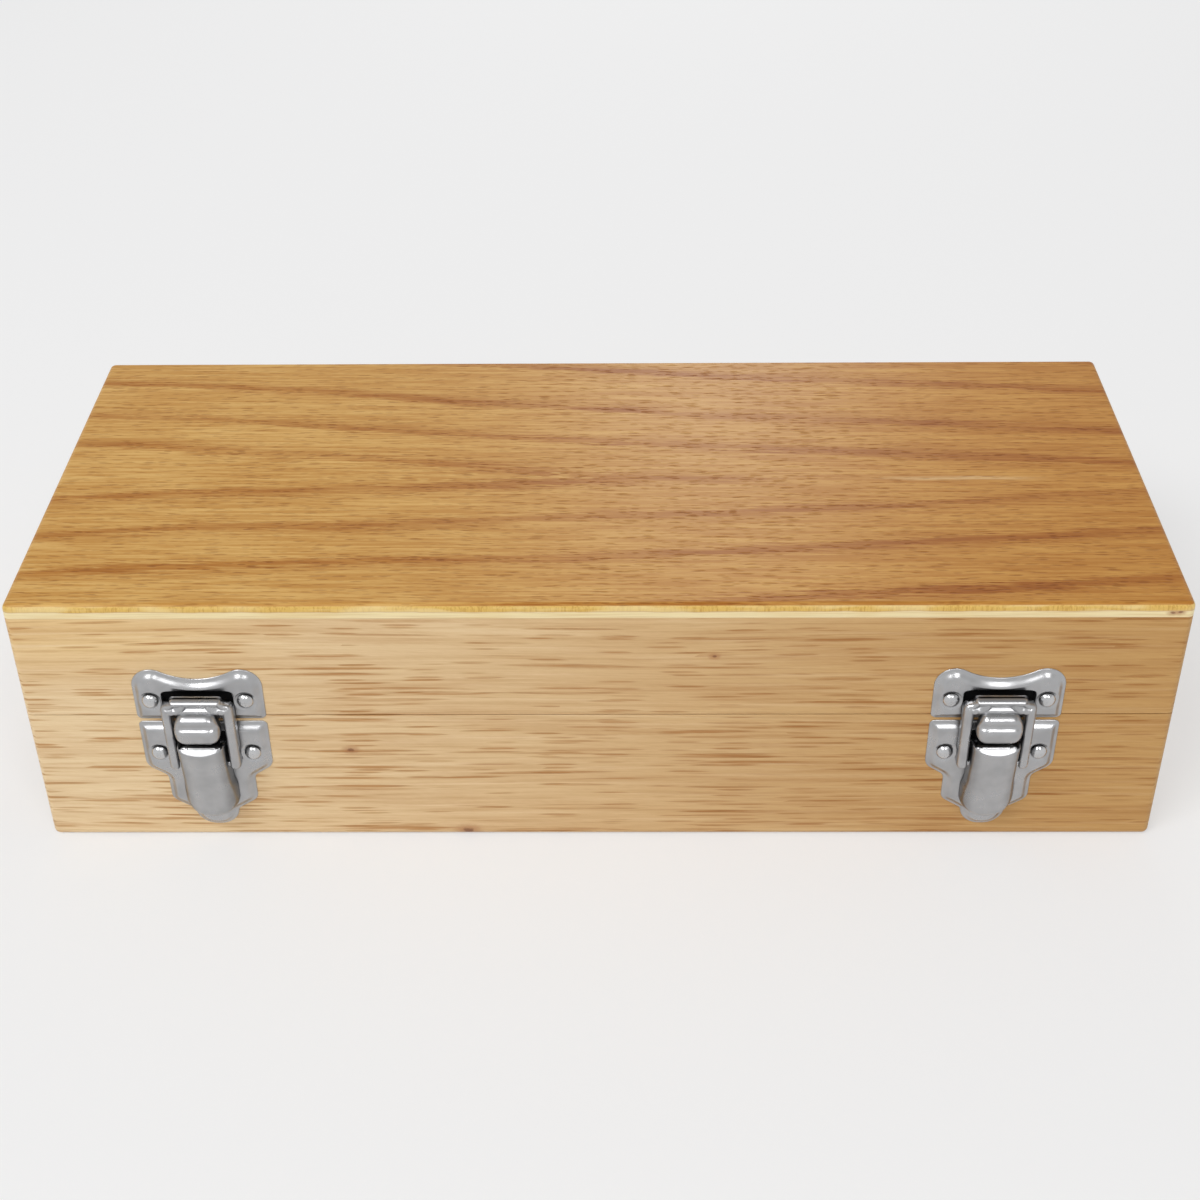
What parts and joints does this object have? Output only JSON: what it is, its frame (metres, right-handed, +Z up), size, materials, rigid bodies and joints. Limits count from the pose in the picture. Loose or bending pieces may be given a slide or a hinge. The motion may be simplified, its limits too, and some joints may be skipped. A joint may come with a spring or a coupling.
{
  "type": "microphone box",
  "caption": "Oak box with a hinged plywood-topped lid, toggle latches on its front, butt hinges at the back and a cut foam lining for a large studio microphone.",
  "frame": {"origin": "middle of the wooden box's underside, on the surface it stands on", "axes": "+X along the box to its right end as seen from the front, +Y to the hinges at the back, +Z up"},
  "size_m": [0.34, 0.1591, 0.088],
  "materials": {
    "oak": "satin varnished oak boards and veneer",
    "ply": "bare birch ply panel, varnished on the outside",
    "nickel": "satin nickel-plated pressed steel",
    "steel": "bright plated steel screws and pins",
    "foam": "soft open-cell foam"
  },
  "bodies": {
    "base": {"base_front": "oak", "base_back": "oak", "base_left": "oak", "base_right": "oak", "base_bottom": "ply", "base_foam": "foam", "hinge_leaf_base_left": "nickel", "hinge_leaf_base_right": "nickel", "hinge_pin_left": "steel", "hinge_pin_right": "steel", "hinge_screws_base": "steel", "keeper_plate_left": "nickel", "keeper_plate_right": "nickel", "keeper_screws": "steel", "lever_pin_left": "steel", "lever_pin_right": "steel"},
    "lid": {"lid_front": "oak", "lid_back": "oak", "lid_left": "oak", "lid_right": "oak", "lid_top": "oak", "lid_foam": "foam", "hinge_leaf_lid_left": "nickel", "hinge_leaf_lid_right": "nickel", "hinge_screws_lid": "steel", "strike_plate_left": "nickel", "strike_plate_right": "nickel", "strike_screws": "steel"},
    "lever_left": {"lever_left": "nickel", "bail_pin_left": "steel"},
    "bail_left": {"bail_left": "nickel"},
    "lever_right": {"lever_right": "nickel", "bail_pin_right": "steel"},
    "bail_right": {"bail_right": "nickel"}
  },
  "joints": [
    {"name": "lid_hinge", "type": "hinge", "parent": "base", "child": "lid", "pos_m": [0, 0.0745, 0.04815], "axis": [-1, 0, 0], "range_deg": [0, 180]},
    {"name": "lever_left_pivot", "type": "hinge", "parent": "base", "child": "lever_left", "pos_m": [-0.1175, -0.0777, 0.0396], "axis": [-1, 0, 0], "range_deg": [0, 110]},
    {"name": "bail_left_swing", "type": "hinge", "parent": "lever_left", "child": "bail_left", "pos_m": [-0.1175, -0.0762, 0.033], "axis": [-1, 0, 0], "range_deg": [-137.5, 0]},
    {"name": "lever_right_pivot", "type": "hinge", "parent": "base", "child": "lever_right", "pos_m": [0.1175, -0.0777, 0.0396], "axis": [-1, 0, 0], "range_deg": [0, 110]},
    {"name": "bail_right_swing", "type": "hinge", "parent": "lever_right", "child": "bail_right", "pos_m": [0.1175, -0.0762, 0.033], "axis": [-1, 0, 0], "range_deg": [-137.5, 0]}
  ],
  "couplings": [
    {"joint": "bail_left_swing", "follows": "lever_left_pivot", "ratio": -1.25},
    {"joint": "bail_right_swing", "follows": "lever_right_pivot", "ratio": -1.25}
  ]
}
